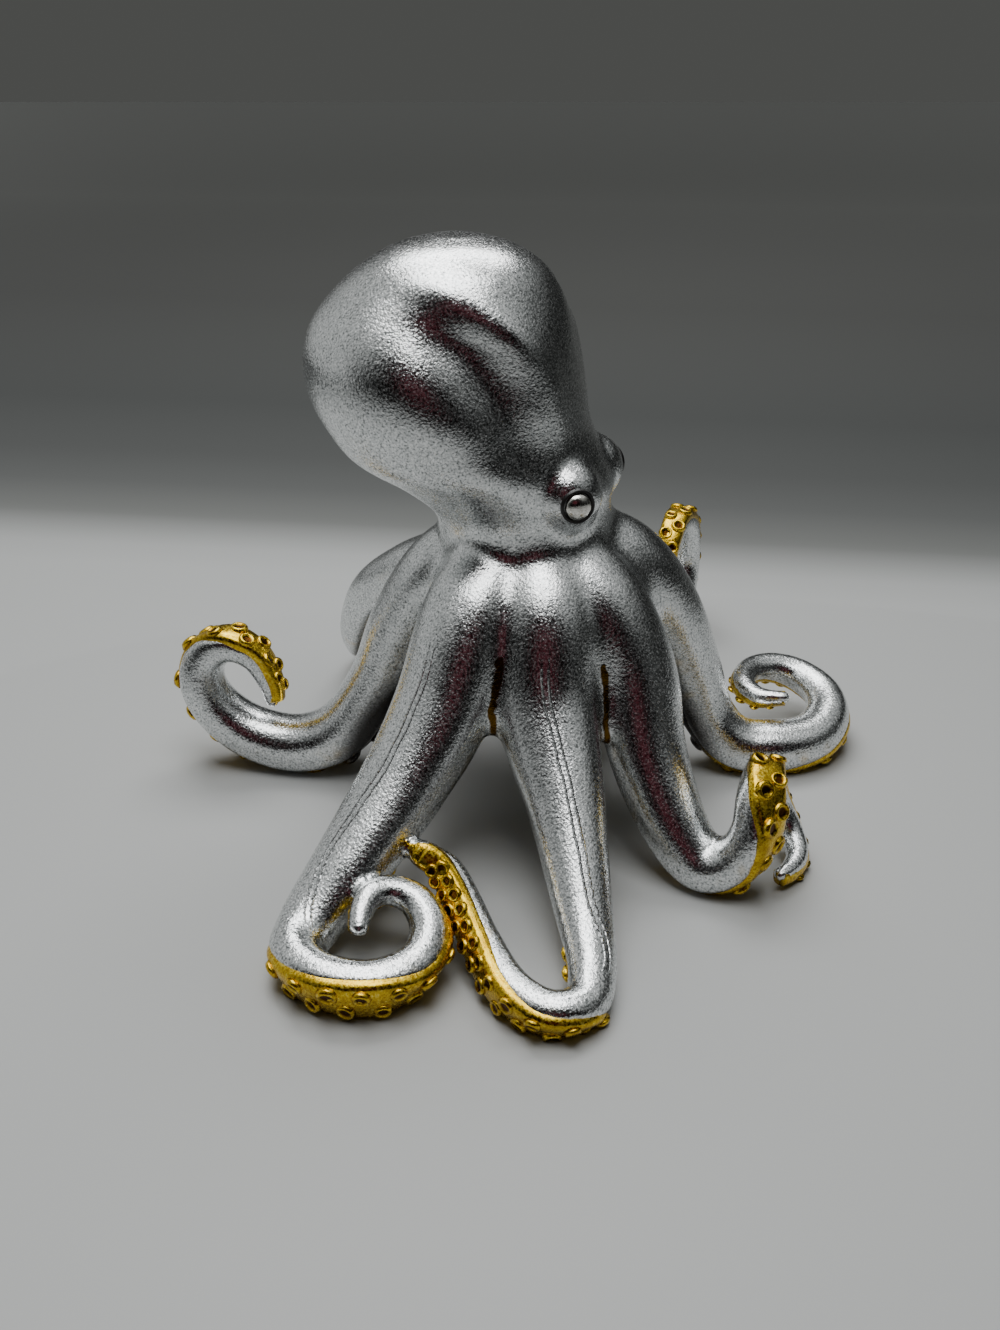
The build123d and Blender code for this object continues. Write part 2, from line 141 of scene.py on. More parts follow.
arm_route_shares["arm_2"] = [
    (-0.08, -0.09, 0.84, 1.3, -0.5, -0.5, 0.7),
    (-0.18, -0.265, 0.7, 1.45, -0.5, -0.6, 0.6),
    (-0.258, -0.41, 0.48, 1.46, -0.5, -0.6, 0.62),
    (-0.365, -0.56, 0.32, 1.28, -0.45, -0.55, 0.7),
    (-0.51, -0.755, 0.165, 1.08, -0.5, -0.35, 0.8),
    (-0.59, -0.89, 0.093, 0.84, 0.2, -0.2, 0.95),
    (-0.598, -0.985, 0.075, 0.74, 0.85, 0.1, 0.42),
    (-0.52, -1.06, 0.071, 0.7, 0.6, 0.75, 0.2),
    (-0.4, -1.078, 0.071, 0.68, 0, 0.97, 0.2),
    (-0.3, -1.022, 0.09, 0.61, -0.6, 0.5, 0.62),
    (-0.272, -0.94, 0.124, 0.53, -0.6, 0.02, 0.8),
    (-0.305, -0.87, 0.158, 0.47, -0.35, -0.4, 0.85),
    (-0.37, -0.848, 0.18, 0.41, -0.05, -0.6, 0.8),
    (-0.42, -0.875, 0.185, 0.37, 0.3, -0.45, 0.85),
    (-0.44, -0.925, 0.172, 0.33, 0.35, -0.3, 0.9),
    (-0.444, -0.97, 0.155, 0.27, 0.35, -0.3, 0.9),
]
arm_route_shares["arm_3"] = [
    (0.01, -0.12, 0.84, 1.3, 0, -0.7, 0.7),
    (0.035, -0.29, 0.69, 1.5, 0, -0.85, 0.5),
    (0.044, -0.415, 0.48, 1.5, 0, -0.8, 0.6),
    (0.095, -0.64, 0.3, 1.1, 0.05, -0.63, 0.78),
    (0.13, -0.87, 0.155, 0.8, 0.2, -0.5, 0.8),
    (0.15, -1.02, 0.085, 0.67, 0.6, -0.1, 0.75),
    (0.125, -1.12, 0.06, 0.6, 0.2, 0.6, 0.7),
    (0.04, -1.155, 0.055, 0.58, -0.1, 0.9, 0.45),
    (-0.055, -1.085, 0.062, 0.56, 0.72, 0.66, 0.06),
    (-0.125, -0.95, 0.085, 0.51, 0.79, 0.47, -0.39),
    (-0.178, -0.828, 0.122, 0.48, 0.69, 0.56, -0.47),
    (-0.226, -0.756, 0.171, 0.45, 0.7, 0.45, -0.5),
    (-0.296, -0.733, 0.209, 0.4, 0.5, 0.4, -0.7),
]
arm_route_shares["arm_4"] = [
    (0.08, -0.09, 0.84, 1.3, 0.5, -0.5, 0.7),
    (0.215, -0.205, 0.7, 1.45, 0.55, -0.5, 0.6),
    (0.31, -0.28, 0.52, 1.35, 0.6, -0.5, 0.6),
    (0.345, -0.395, 0.33, 1.2, 0.5, -0.5, 0.7),
    (0.412, -0.52, 0.168, 1, 0.3, -0.5, 0.8),
    (0.49, -0.59, 0.077, 0.88, -0.15, -0.1, 1),
    (0.57, -0.618, 0.11, 0.8, -0.7, 0.3, 0.7),
    (0.615, -0.615, 0.195, 0.74, -0.75, 0.65, 0.1),
    (0.63, -0.57, 0.275, 0.66, -0.4, 0.75, -0.5),
    (0.655, -0.5, 0.3, 0.58, -0.1, 0.25, -1),
    (0.68, -0.44, 0.25, 0.52, -0.25, -0.75, -0.6),
    (0.715, -0.425, 0.165, 0.47, -0.45, -0.85, 0.1),
    (0.76, -0.455, 0.092, 0.41, -0.45, -0.4, 0.7),
    (0.775, -0.52, 0.058, 0.35, -0.3, 0, 1),
    (0.748, -0.58, 0.05, 0.29, 0, 0.1, 1),
    (0.705, -0.62, 0.052, 0.23, 0.1, 0.2, 1),
]
arm_route_shares["arm_5"] = [
    (0.1, 0.01, 0.84, 1.3, 0.5, 0, 0.85),
    (0.29, 0.03, 0.76, 1.4, 0.75, 0, 0.66),
    (0.43, 0.055, 0.59, 1.3, 0.85, 0, 0.5),
    (0.53, 0.075, 0.37, 1.15, 0.85, 0, 0.5),
    (0.6, 0.06, 0.19, 1, 0.75, -0.1, 0.65),
    (0.695, 0.035, 0.094, 0.98, 0.2, -0.06, 0.97),
    (0.825, 0.035, 0.083, 0.96, 0, 0.02, 1),
    (0.94, 0.075, 0.088, 0.88, -0.25, 0.15, 0.95),
    (1.015, 0.165, 0.115, 0.76, -0.45, -0.1, 0.9),
    (1.022, 0.275, 0.142, 0.64, -0.4, -0.3, 0.85),
    (0.96, 0.365, 0.165, 0.57, -0.2, -0.5, 0.8),
    (0.87, 0.385, 0.186, 0.5, 0.1, -0.5, 0.85),
    (0.785, 0.34, 0.196, 0.44, 0.4, -0.3, 0.85),
    (0.745, 0.23, 0.202, 0.38, 0.35, -0.4, 0.9),
    (0.778, 0.14, 0.204, 0.31, 0.1, -0.45, 0.85),
    (0.855, 0.112, 0.213, 0.23, 0, -0.6, 0.8),
]
arm_route_shares["arm_6"] = [
    (0.08, 0.09, 0.84, 1.3, 0.5, 0.5, 0.7),
    (0.19, 0.21, 0.72, 1.3, 0.5, 0.55, 0.66),
    (0.29, 0.35, 0.52, 1.1, 0.5, 0.6, 0.6),
    (0.38, 0.51, 0.3, 0.95, 0.45, 0.6, 0.6),
    (0.47, 0.69, 0.13, 0.82, 0.3, 0.5, 0.8),
    (0.545, 0.87, 0.065, 0.74, 0, 0, 1),
    (0.62, 1.02, 0.13, 0.66, -0.3, -0.6, 0.75),
    (0.655, 1.11, 0.27, 0.6, -0.35, -0.9, 0.1),
    (0.64, 1.07, 0.43, 0.56, -0.2, -0.6, -0.75),
    (0.59, 0.97, 0.49, 0.52, 0, 0.2, -1),
    (0.55, 0.875, 0.43, 0.46, 0.2, 0.9, -0.4),
    (0.555, 0.87, 0.33, 0.38, 0.3, 0.9, 0.4),
    (0.585, 0.935, 0.28, 0.28, 0.1, 0.2, 0.95),
]
arm_route_shares["arm_7"] = [
    (-0.08, 0.09, 0.84, 1.3, -0.5, 0.5, 0.7),
    (-0.215, 0.215, 0.69, 1.3, -0.3, 0.3, 0.9),
    (-0.38, 0.36, 0.57, 1.2, -0.4, 0.35, 0.85),
    (-0.52, 0.5, 0.42, 1.1, -0.6, 0.5, 0.6),
    (-0.59, 0.64, 0.21, 0.94, -0.6, 0.5, 0.6),
    (-0.56, 0.8, 0.077, 0.82, 0, 0.1, 1),
    (-0.46, 0.92, 0.07, 0.74, 0, 0, 1),
    (-0.33, 0.965, 0.075, 0.66, 0.1, -0.2, 1),
    (-0.215, 0.91, 0.095, 0.6, -0.1, -0.3, 0.9),
    (-0.205, 0.795, 0.13, 0.52, -0.1, -0.2, 0.9),
    (-0.285, 0.725, 0.165, 0.44, 0.1, 0, 1),
    (-0.375, 0.755, 0.19, 0.34, 0.1, 0.2, 1),
    (-0.39, 0.825, 0.2, 0.25, 0.1, 0.1, 1),
]
arm_route_shares["arm_8"] = [
    (0, 0.12, 0.84, 1.3, 0, 0.6, 0.75),
    (0.01, 0.27, 0.7, 1.3, 0, 0.8, 0.6),
    (0.03, 0.41, 0.48, 1.15, 0, 0.8, 0.6),
    (0.05, 0.56, 0.28, 1, 0, 0.7, 0.7),
    (0.06, 0.71, 0.13, 0.86, 0, 0.5, 0.85),
    (0.08, 0.87, 0.075, 0.76, 0.1, 0.2, 1),
    (0.16, 0.985, 0.07, 0.68, 0, 0, 1),
    (0.275, 1, 0.08, 0.62, -0.2, -0.1, 1),
    (0.325, 0.9, 0.105, 0.55, -0.3, -0.1, 0.95),
    (0.26, 0.825, 0.14, 0.44, -0.1, 0.1, 1),
    (0.185, 0.86, 0.165, 0.3, 0.2, 0.2, 1),
]
print("Routes:", len(arm_route_shares))

# %% [markdown]
# ## From rows to smooth frames
# A smooth curve through the rows gives as many in-between rows as are wanted. A frame then holds
# the place, the sideways and backward directions square to the route, and the local width and
# thickness. The thickness grows towards a round tube at the tip.

# %% Work out the frames
route_steps = 8
root_thickness_share = 0.82
tip_thickness_share = 0.95


def blend_rows(before, here, after, beyond, step):
    turn = -before + here * 3 - after * 3 + beyond
    sway = before * 2 - here * 5 + after * 4 - beyond
    return here + ((after - before) + (sway + turn * step) * step) * (step / 2)


def fine_rows(rows, steps):
    first = tuple(a * 2 - b for a, b in zip(rows[0], rows[1]))
    last = tuple(a * 2 - b for a, b in zip(rows[-1], rows[-2]))
    line = [first] + rows + [last]
    fine = []
    for index in range(len(rows) - 1):
        spans = list(zip(*line[index:index + 4]))
        for count in range(steps):
            fine.append(tuple(blend_rows(*span, count / steps) for span in spans))
    fine.append(rows[-1])
    return fine


def route_frames(name):
    """List (place, side, back, width, thickness) along one arm, from the hub to the tip."""
    rows = []
    for x, y, z, width, *back in arm_route_shares[name]:
        place = hub + Vector((x * arm_reach, y * arm_reach, z * eye_height))
        rows.append((place, width * arm_width, Vector(back)))
    rows = fine_rows(rows, route_steps)
    frames = []
    for index, (place, width, back) in enumerate(rows):
        ahead = rows[min(index + 1, len(rows) - 1)][0]
        behind = rows[max(index - 1, 0)][0]
        tangent = (ahead - behind).normalized()
        back = (back - tangent * back.dot(tangent)).normalized()
        along = index / (len(rows) - 1)
        thick_share = root_thickness_share + (tip_thickness_share - root_thickness_share) * along
        frames.append((place, tangent.cross(back), back, width, width * thick_share))
    return frames


arm_frames = {name: route_frames(name) for name in arm_route_shares}
print("Frames on each arm:", {name: len(frames) for name, frames in arm_frames.items()})

# %% [markdown]
# ## One way to extrude
# Almost everything here is a ring of points that is extruded and moved on, again and again, as a
# sculptor stacks slices. One helper extrudes the ring once and gives back the new ring. Another
# closes every open edge with a face, and a third one moves a ring through many places.

# %% Extrude a ring and close the ends
def start_ring(bm, points):
    ring = bmesh.ops.create_circle(bm, segments=len(points))["verts"]
    for vert, point in zip(ring, points):
        vert.co = point
    return ring


def next_ring(bm, ring, matrix):
    inside = set(ring)
    edges = [e for e in {e for v in ring for e in v.link_edges} if inside.issuperset(e.verts)]
    made = bmesh.ops.extrude_edge_only(bm, edges=edges)["geom"]
    fresh = [item for item in made if isinstance(item, bmesh.types.BMVert)]
    bmesh.ops.transform(bm, matrix=matrix, verts=fresh)
    return fresh


def close_ends(bm):
    open_edges = [e for e in bm.edges if e.is_boundary]
    bmesh.ops.holes_fill(bm, edges=open_edges, sides=0)
    bmesh.ops.recalc_face_normals(bm, faces=bm.faces)


def sweep(bm, ring, places):
    """Extrude the ring from place to place and close both ends."""
    for before, after in zip(places, places[1:]):
        ring = next_ring(bm, ring, after @ before.inverted())
    close_ends(bm)


print("Ring helpers ready")

# %% [markdown]
# ## The arms of the casting
# The section of a real arm has a domed back and flanks over a flat underside. The unit section is
# a circle whose lower half is squared off. Each frame stretches it to the local width and
# thickness. A few shrinking rings round off the tip. Each point keeps how far down it lies in its
# section, and every extrusion copies that value along the arm.

# %% Sweep one section along each arm
section_points = 32
half_width_share = 0.49
back_share = 0.46
underside_share = 0.42
square_power = 0.45
tip_rings = 5


def section_point(angle):
    across, up = math.cos(angle), math.sin(angle)
    if up >= 0:
        return Vector((half_width_share * across, back_share * up, 0))
    across = math.copysign(abs(across) ** square_power, across)
    return Vector((half_width_share * across, -underside_share * abs(up) ** square_power, 0))


def column_matrix(*columns):
    return Matrix([[column[row] for column in columns] for row in range(3)] + [[0, 0, 0, 1]])


def frame_matrix(frame):
    place, side, back, width, thickness = frame
    return column_matrix(side * width, back * thickness, side.cross(back) * width, place)


def rounded_tip(frames):
    """Frames that shrink past the last one, as the slices of a dome do."""
    place, side, back, width, thickness = frames[-1]
    ahead = (place - frames[-2][0]).normalized()
    slices = []
    for count in range(1, tip_rings):
        turn = count / tip_rings * math.pi / 2
        size = math.cos(turn)
        reach = math.sin(turn) * thickness / 2
        slices.append((place + ahead * reach, side, back, width * size, thickness * size))
    return slices


def arm_source(name):
    bm = bmesh.new()
    down = bm.verts.layers.float.new("down")
    outline = [section_point(count * math.tau / section_points) for count in range(section_points)]
    places = [frame_matrix(step) for step in arm_frames[name] + rounded_tip(arm_frames[name])]
    ring = start_ring(bm, [places[0] @ point for point in outline])
    for vert, point in zip(ring, outline):
        vert[down] = -point.y
    sweep(bm, ring, places)
    return bm


sources = {name: arm_source(name) for name in arm_route_shares}
print("Arm sources:", {name: len(bm.faces) for name, bm in sources.items()})

# %% [markdown]
# ## The mantle and the head
# The sack-like mantle leans back from the face. It is a stack of level rings: the rows hold the
# height, the centre, the two radii, and how strongly and how far apart the brow ridges stand out
# at that height. The valleys beside the brows are part of the same formula, so one ring makes
# both. They are a little deeper than on the solid, because the photograph's mirrored shapes show
# them so.

# %% The rings of the head
head_ring_shares = [
    (0.6, 0, 0, 0.29, 0.29, 0, 42),
    (0.7, 0, 0, 0.33, 0.33, 0, 42),
    (0.8, 0, 0, 0.33, 0.33, 0, 42),
    (0.88, -0.01, 0, 0.32, 0.32, 0, 42),
    (0.95, -0.04, 0.01, 0.34, 0.33, 0, 38),
    (1.02, -0.1, 0.03, 0.405, 0.38, 0.012, 36),
    (1.09, -0.192, 0.04, 0.463, 0.43, 0.042, 31),
    (1.17, -0.255, 0.06, 0.48, 0.465, 0.08, 29),
    (1.26, -0.295, 0.075, 0.495, 0.49, 0.115, 28),
    (1.36, -0.317, 0.095, 0.488, 0.49, 0.15, 29),
    (1.45, -0.312, 0.115, 0.456, 0.46, 0.145, 37),
    (1.53, -0.29, 0.125, 0.395, 0.4, 0.05, 52),
    (1.6, -0.27, 0.11, 0.31, 0.31, 0, 80),
    (1.65, -0.265, 0.1, 0.2, 0.2, 0, 80),
    (1.675, -0.26, 0.1, 0.08, 0.08, 0, 80),
]
head_ring_points = 120
face_heading = -18.0
ridge_spread = 12.0
ridge_share = 0.5
valley_spread = 22.0
valley_offset = 29.0
lowest_offset_share = 0.25
valley_low = 0.90
valley_high = 1.50


def ring_swell(angle, level, relief, turn):
    """How far the ring swells at one angle: a ridge over each eye and a valley beside it."""
    climb = (level - valley_low) / (valley_high - valley_low)
    offset = valley_offset * min(1.0, max(lowest_offset_share, climb))
    swell = 1.0
    for way in (-1, 1):
        off = (angle - face_heading - way * turn + 180) % 360 - 180
        dip = (angle - face_heading - way * (turn + offset) + 180) % 360 - 180
        swell += relief * ridge_share * math.exp(-(off / ridge_spread) ** 2)
        swell -= relief * math.exp(-(dip / valley_spread) ** 2)
    return swell


def head_point(row, angle):
    z, cx, cy, rx, ry, relief, turn = row
    swell = ring_swell(angle, z, relief, turn)
    x = (cx + rx * swell * math.cos(math.radians(angle))) * mantle_width
    y = (cy + ry * swell * math.sin(math.radians(angle))) * mantle_width
    return hub + Vector((x, y, z * eye_height))


def head_source():
    """Stack the rings. Each point keeps its heading, which every extrusion copies upwards."""
    bm = bmesh.new()
    heading = bm.verts.layers.float.new("heading")
    rows = fine_rows(head_ring_shares, route_steps)
    headings = [count * 360 / head_ring_points for count in range(head_ring_points)]
    ring = start_ring(bm, [head_point(rows[0], angle) for angle in headings])
    for vert, angle in zip(ring, headings):
        vert[heading] = angle
    for row in rows[1:]:
        ring = next_ring(bm, ring, Matrix.Identity(4))
        for vert in ring:
            vert.co = head_point(row, vert[heading])
    close_ends(bm)
    return bm


sources["mantle_head"] = head_source()
print("Head source:", len(sources["mantle_head"].faces), "faces")

# %% [markdown]
# ## The swellings that carry the eyes
# Each eye sits on its own round swelling at the side of the face. A sphere, sunk by nearly half
# into the head, makes it. The same plane places the eye and its rim later on.

# %% Add the eye swellings
eye_turn = 44.0
eye_out_share = 0.375
eye_axis_turn = 54.0
eye_rise_share = 1.02
eye_centre_x_share = -0.02
mound_diameter = 21 * mm
mound_sink_share = 0.47


def eye_matrix(way):
    """The matrix whose +Z leaves the skin along the axis of one eye."""
    place_heading = math.radians(face_heading + way * eye_turn)
    axis_heading = math.radians(face_heading + way * eye_axis_turn)
    out = eye_out_share * mantle_width
    x = eye_centre_x_share * mantle_width + out * math.cos(place_heading)
    place = hub + Vector((x, out * math.sin(place_heading), eye_rise_share * eye_height))
    axis = Vector((math.cos(axis_heading), math.sin(axis_heading), 0))
    return Matrix.Translation(place) @ axis.to_track_quat("Z", "Y").to_matrix().to_4x4()


for way in (-1, 1):
    sunk = eye_matrix(way) @ Matrix.Translation((0, 0, -mound_sink_share * mound_diameter))
    bmesh.ops.create_uvsphere(
        sources["mantle_head"], u_segments=32, v_segments=20, radius=mound_diameter / 2, matrix=sunk
    )
print("Eye planes at mm:", [tuple(round(c / mm, 1) for c in eye_matrix(w).translation) for w in (-1, 1)])

# %% [markdown]
# ## Melting the sources into one skin
# On the real casting the arms flow into the head, with soft grooves between them. A boolean
# would leave hard creases. A voxel remesh joins everything that overlaps. The roots are then
# swollen, joined again and shrunk back by the same amount, which fills each crotch and the crease
# of the neck with a round fillet, as the sculptor's clay does. The swelling fades out down the
# arms, so the curls keep their openings.

# %% Remesh the skin and fill its crotches
voxel_size = 0.9 * mm
fillet_depth = 3.6 * mm
fillet_radii = (40 * mm, 66 * mm)
fillet_bottom = (26 * mm, 46 * mm)
fillet_top = (90 * mm, 103 * mm)
swollen_rounds = 3


def as_mesh(name, bm):
    mesh = bpy.data.meshes.new(name)
    bm.to_mesh(mesh)
    bm.free()
    return mesh


def linked(name, mesh):
    piece = bpy.data.objects.new(name, mesh)
    bpy.context.scene.collection.objects.link(piece)
    return piece


def melted(parts):
    """Join the parts and remesh them as one closed skin."""
    whole = bmesh.new()
    for bm in parts:
        part = bpy.data.meshes.new("part")
        bm.to_mesh(part)
        whole.from_mesh(part)
        bpy.data.meshes.remove(part)
    lump = linked("lump", as_mesh("lump", whole))
    remesh = lump.modifiers.new("melt", "REMESH")
    remesh.mode = "VOXEL"
    remesh.voxel_size = voxel_size
    result = bpy.data.meshes.new_from_object(lump.evaluated_get(bpy.context.evaluated_depsgraph_get()))
    bpy.data.objects.remove(lump)
    bm = bmesh.new()
    bm.from_mesh(result)
    return bm


def ease(value, low, high):
    """Rise smoothly from 0 at low to 1 at high."""
    share = min(max((value - low) / (high - low), 0.0), 1.0)
    return share * share * (3 - 2 * share)


def swelling(co):
    fade = 1 - ease((co - hub).xy.length, *fillet_radii)
    return fillet_depth * fade * ease(co.z, *fillet_bottom) * (1 - ease(co.z, *fillet_top))


def relax(bm, verts, rounds):
    every_axis = {"use_axis_x": True, "use_axis_y": True, "use_axis_z": True}
    for _ in range(rounds):
        bmesh.ops.smooth_vert(bm, verts=verts, factor=0.5, **every_axis)


skin = melted(sources.values())
skin.normal_update()
for vert in skin.verts:
    vert.co += vert.normal * swelling(vert.co)
skin = melted([skin])
relax(skin, [v for v in skin.verts if swelling(v.co) > 0], swollen_rounds)
skin.normal_update()
for vert in skin.verts:
    deep = swelling(vert.co)
    vert.co -= vert.normal * swelling(vert.co - vert.normal * deep)
skin = melted([skin])
print("Skin:", len(skin.verts), "points")

# %% [markdown]
# ## Softening what is left
# A few rounds of smoothing take the voxel steps out. The roots get more rounds than the thin
# tips, which would shrink.

# %% Smooth the skin
skin_rounds = 3
root_rounds = 10

relax(skin, skin.verts[:], skin_rounds)
relax(skin, [v for v in skin.verts if swelling(v.co) > fillet_depth / 2], root_rounds - skin_rounds)
print("Skin smoothed in", root_rounds, "rounds at most")

# %% [markdown]
# ## Whose skin is it
# The skin is one surface, but the casting was made of a head and eight arms. Each face goes to
# the source that lies nearest, and a few rounds of voting among neighbours straighten the borders.

# %% Share the skin out
voting_rounds = 6
owners = list(sources)


def point_tree(points):
    tree = kdtree.KDTree(len(points))
    for index, point in enumerate(points):
        tree.insert(point, index)
    tree.balance()
    return tree


owner_points = [(vert.co, number) for number, bm in enumerate(sources.values()) for vert in bm.verts]
owner_tree = point_tree([point for point, _ in owner_points])
owner_of = [owner_points[owner_tree.find(face.calc_center_median())[1]][1] for face in skin.faces]
skin.faces.index_update()
ring_of = [[other.index for edge in face.edges for other in edge.link_faces] for face in skin.faces]
for _ in range(voting_rounds):
    owner_of = [max(votes, key=votes.count) for votes in ([owner_of[i] for i in ring] for ring in ring_of)]
print("Faces of each owner:", {name: owner_of.count(number) for number, name in enumerate(owners)})

# %% [markdown]
# ## How far round the underside
# The gold leaf covers the underside of each arm and stops at a hand-laid border on the flanks.
# The leaf follows the arm, so each point of the skin takes a value from the nearest points of its
# own source: how far it lies below the middle of the section. Its distance across the arm, in
# millimetres, and along it, counted in frames, place the mould's lines and the gold's start. The
# materials read these attributes.

# %% Store the attributes
neighbours = 4
underside_layer = skin.verts.layers.float.new("underside")
across_layer = skin.verts.layers.float.new("across")
along_layer = skin.verts.layers.float.new("along")
whole_normal_layer = skin.verts.layers.float_vector.new("whole_normal")
down_trees = {}
for name, bm in sources.items():
    down = bm.verts.layers.float.get("down")
    if down:
        down_trees[name] = (point_tree([v.co for v in bm.verts]), [v[down] for v in bm.verts])
route_trees = {name: point_tree([step[0] for step in frames]) for name, frames in arm_frames.items()}

skin.normal_update()
for vert in skin.verts:
    vert[whole_normal_layer] = vert.normal
    vert[underside_layer] = -1.0
    name = owners[owner_of[vert.link_faces[0].index]]
    if name in down_trees:
        tree, downs = down_trees[name]
        found = tree.find_n(vert.co, neighbours)
        weights = [1 / (gap + voxel_size) for _, _, gap in found]
        weighed = sum(downs[index] * weight for (_, index, _), weight in zip(found, weights))
        vert[underside_layer] = weighed / sum(weights)
        index = route_trees[name].find(vert.co)[1]
        place, side, back, width, thickness = arm_frames[name][index]
        tangent = side.cross(back)
        vert[across_layer] = (vert.co - place).dot(side) / mm
        vert[along_layer] = index + (vert.co - place).dot(tangent) / (width / route_steps)
print("Attributes stored on", len(skin.verts), "points")

# %% [markdown]
# ## Cutting the skin into its castings
# A copy of the skin keeps one owner's faces. Its open edge at the hub is extruded to a point deep
# inside, so that each casting is a closed solid. Along that edge the shading keeps the whole
# skin's normals, so the seam doesn't show. The floor then sands a flat sole.

# %% Cut out each casting
seam_layer_name = "seam"
heart_level = 92 * mm
hub_reach = 75 * mm
slit_start = 43 * mm
slit_rounds = 3
slit_faintest = 0.02


def spread_slit(bm, layer):
    """Blur the painted shade of the gap over its neighbours, so that the painted line isn't jagged."""
    for _ in range(slit_rounds):
        painted = [vert for vert in bm.verts if vert[layer] > slit_faintest]
        near = {v for vert in painted for edge in vert.link_edges for v in edge.verts}
        values = {v: [e.other_vert(v)[layer] for e in v.link_edges] for v in near}
        for vert, around in values.items():
            vert[layer] = (vert[layer] + sum(around) / len(around)) / 2


def casting(name):
    bm = skin.copy()
    seam = bm.verts.layers.int.new(seam_layer_name)
    slit_shade = bm.verts.layers.float.new("slit_shade")
    number = owners.index(name)
    bm.faces.ensure_lookup_table()
    strangers = [bm.faces[i] for i, owner in enumerate(owner_of) if owner != number]
    bmesh.ops.delete(bm, geom=strangers, context="FACES")
    edge = [e for e in bm.edges if e.is_boundary and (e.verts[0].co - hub).xy.length < hub_reach]
    for item in edge:
        for vert in item.verts:
            vert[seam] = 1
            # The seam far from the hub lies in a slit between two roots, where painted shade goes.
            vert[slit_shade] = float((vert.co - hub).xy.length > slit_start)
    spread_slit(bm, slit_shade)
    heart = hub + Vector((0, 0, heart_level))
    if name in arm_frames:
        heart = arm_frames[name][route_steps // 2][0]
    made = bmesh.ops.extrude_edge_only(bm, edges=edge)["geom"]
    inner = [item for item in made if isinstance(item, bmesh.types.BMVert)]
    for vert in inner:
        vert[seam] = 0
    bmesh.ops.pointmerge(bm, verts=inner, merge_co=heart)
    sand_flat(bm)
    return bm


def sand_flat(bm):
    """Cut everything off below the floor and close the soles."""
    everything = bm.verts[:] + bm.edges[:] + bm.faces[:]
    bmesh.ops.bisect_plane(bm, geom=everything, plane_co=(0, 0, 0), plane_no=(0, 0, 1), clear_inner=True)
    close_ends(bm)


castings = {name: casting(name) for name in owners}
print("Castings:", {name: len(bm.faces) for name, bm in castings.items()})

# %% [markdown]
# ## The sucker strips
# The underside of each arm carries a raised zone with two staggered rows of suckers. It is a
# ring again: a low rounded slab, whose upper side is hidden in the arm. The strip's thickness
# stays the same all the way, so its ring is in millimetres downwards and in shares across. It
# starts narrow at the root and widens between two of its rows. On arm 1 the gold shows only on
# the curl, so that strip widens later.

# %% Sweep the strips
strip_start_row = 2
strip_thickness = 1.8 * mm
narrow_share = 0.55
usual_widening = (0, 6)
late_widening = {"arm_1": (6, 8.5)}
strip_half = [
    (0.43, 2.4), (0.455, 1.4), (0.452, 0.4), (0.43, -0.5), (0.38, -1.15), (0.28, -1.6), (0.10, -1.8),
]
strip_section = strip_half + [(-across, down) for across, down in reversed(strip_half)]


def strip_matrix(frame, spread):
    place, side, back, width, thickness = frame
    seat = place - back * (underside_share * thickness)
    return column_matrix(side * width * spread, back * mm, side.cross(back) * mm, seat)


def spread_at(index, rows):
    """The share of its full width that a strip has at one frame, as it widens between two rows."""
    first, last = rows
    share = (index / route_steps - first) / (last - first)
    return narrow_share + (1 - narrow_share) * min(1.0, max(0.0, share))


def strip_base(frames, rows):
    bm = bmesh.new()
    places = [strip_matrix(step, spread_at(index, rows)) for index, step in enumerate(frames)]
    ring = start_ring(bm, [places[0] @ Vector((across, down, 0)) for across, down in strip_section])
    sweep(bm, ring, places)
    return bm


print("Strip section:", len(strip_section), "points")

# %% [markdown]
# ## One sucker
# A sucker is a ring with a rounded lip round a pit, painted dark as painted shade, and its foot
# runs out into the strip.
# It is a small lathe shape: a circle that is extruded through a profile of radii and heights. It
# is made once, with few faces, because hundreds of copies follow.

# %% Turn the sucker
sucker_points = 12
sucker_profile = [
    (0.56, -0.12), (0.52, 0.01), (0.48, 0.10), (0.41, 0.15),
    (0.33, 0.12), (0.25, 0.03), (0.17, 0.02), (0.08, 0.02),
]
pit_start = 5


def lathe(bm, profile, points):
    """Extrude a circle through (radius, height) pairs, and list its rings."""
    first, level = profile[0]
    ring = bmesh.ops.create_circle(bm, segments=points, radius=first)["verts"]
    bmesh.ops.translate(bm, verts=ring, vec=(0, 0, level))
    rings = [ring]
    for (wide, low), (narrow, high) in zip(profile, profile[1:]):
        shrink = Matrix.Diagonal((narrow / wide, narrow / wide, 1, 1))
        ring = next_ring(bm, ring, Matrix.Translation((0, 0, high - low)) @ shrink)
        rings.append(ring)
    close_ends(bm)
    return rings


def sucker_mesh():
    bm = bmesh.new()
    pit = bm.verts.layers.float.new("pit")
    rings = lathe(bm, sucker_profile, sucker_points)
    # The pit's rings carry the mask of the painted shade.
    for ring in rings[pit_start:]:
        for vert in ring:
            vert[pit] = 1.0
    return as_mesh("sucker", bm)


one_sucker = sucker_mesh()
print("Sucker:", len(one_sucker.polygons), "faces")

# %% [markdown]
# ## Two staggered rows
# The suckers follow each other down the strip, left and right in turn. They get smaller with
# the arm, and so does the step between them. They are a little larger than on the solids, to
# match the photograph. Each one is turned and sized by chance, from a fixed seed, as
# hand-sculpted suckers are.

# %% Set the suckers
sucker_diameter = 7.6 * mm
sucker_taper = 0.55
sucker_step_share = 0.66
sucker_row_share = 0.20
first_sucker = 3 * mm
tip_margin = 4 * mm
seat_share = 0.98
size_play = 0.10
tilt_play = 0.14


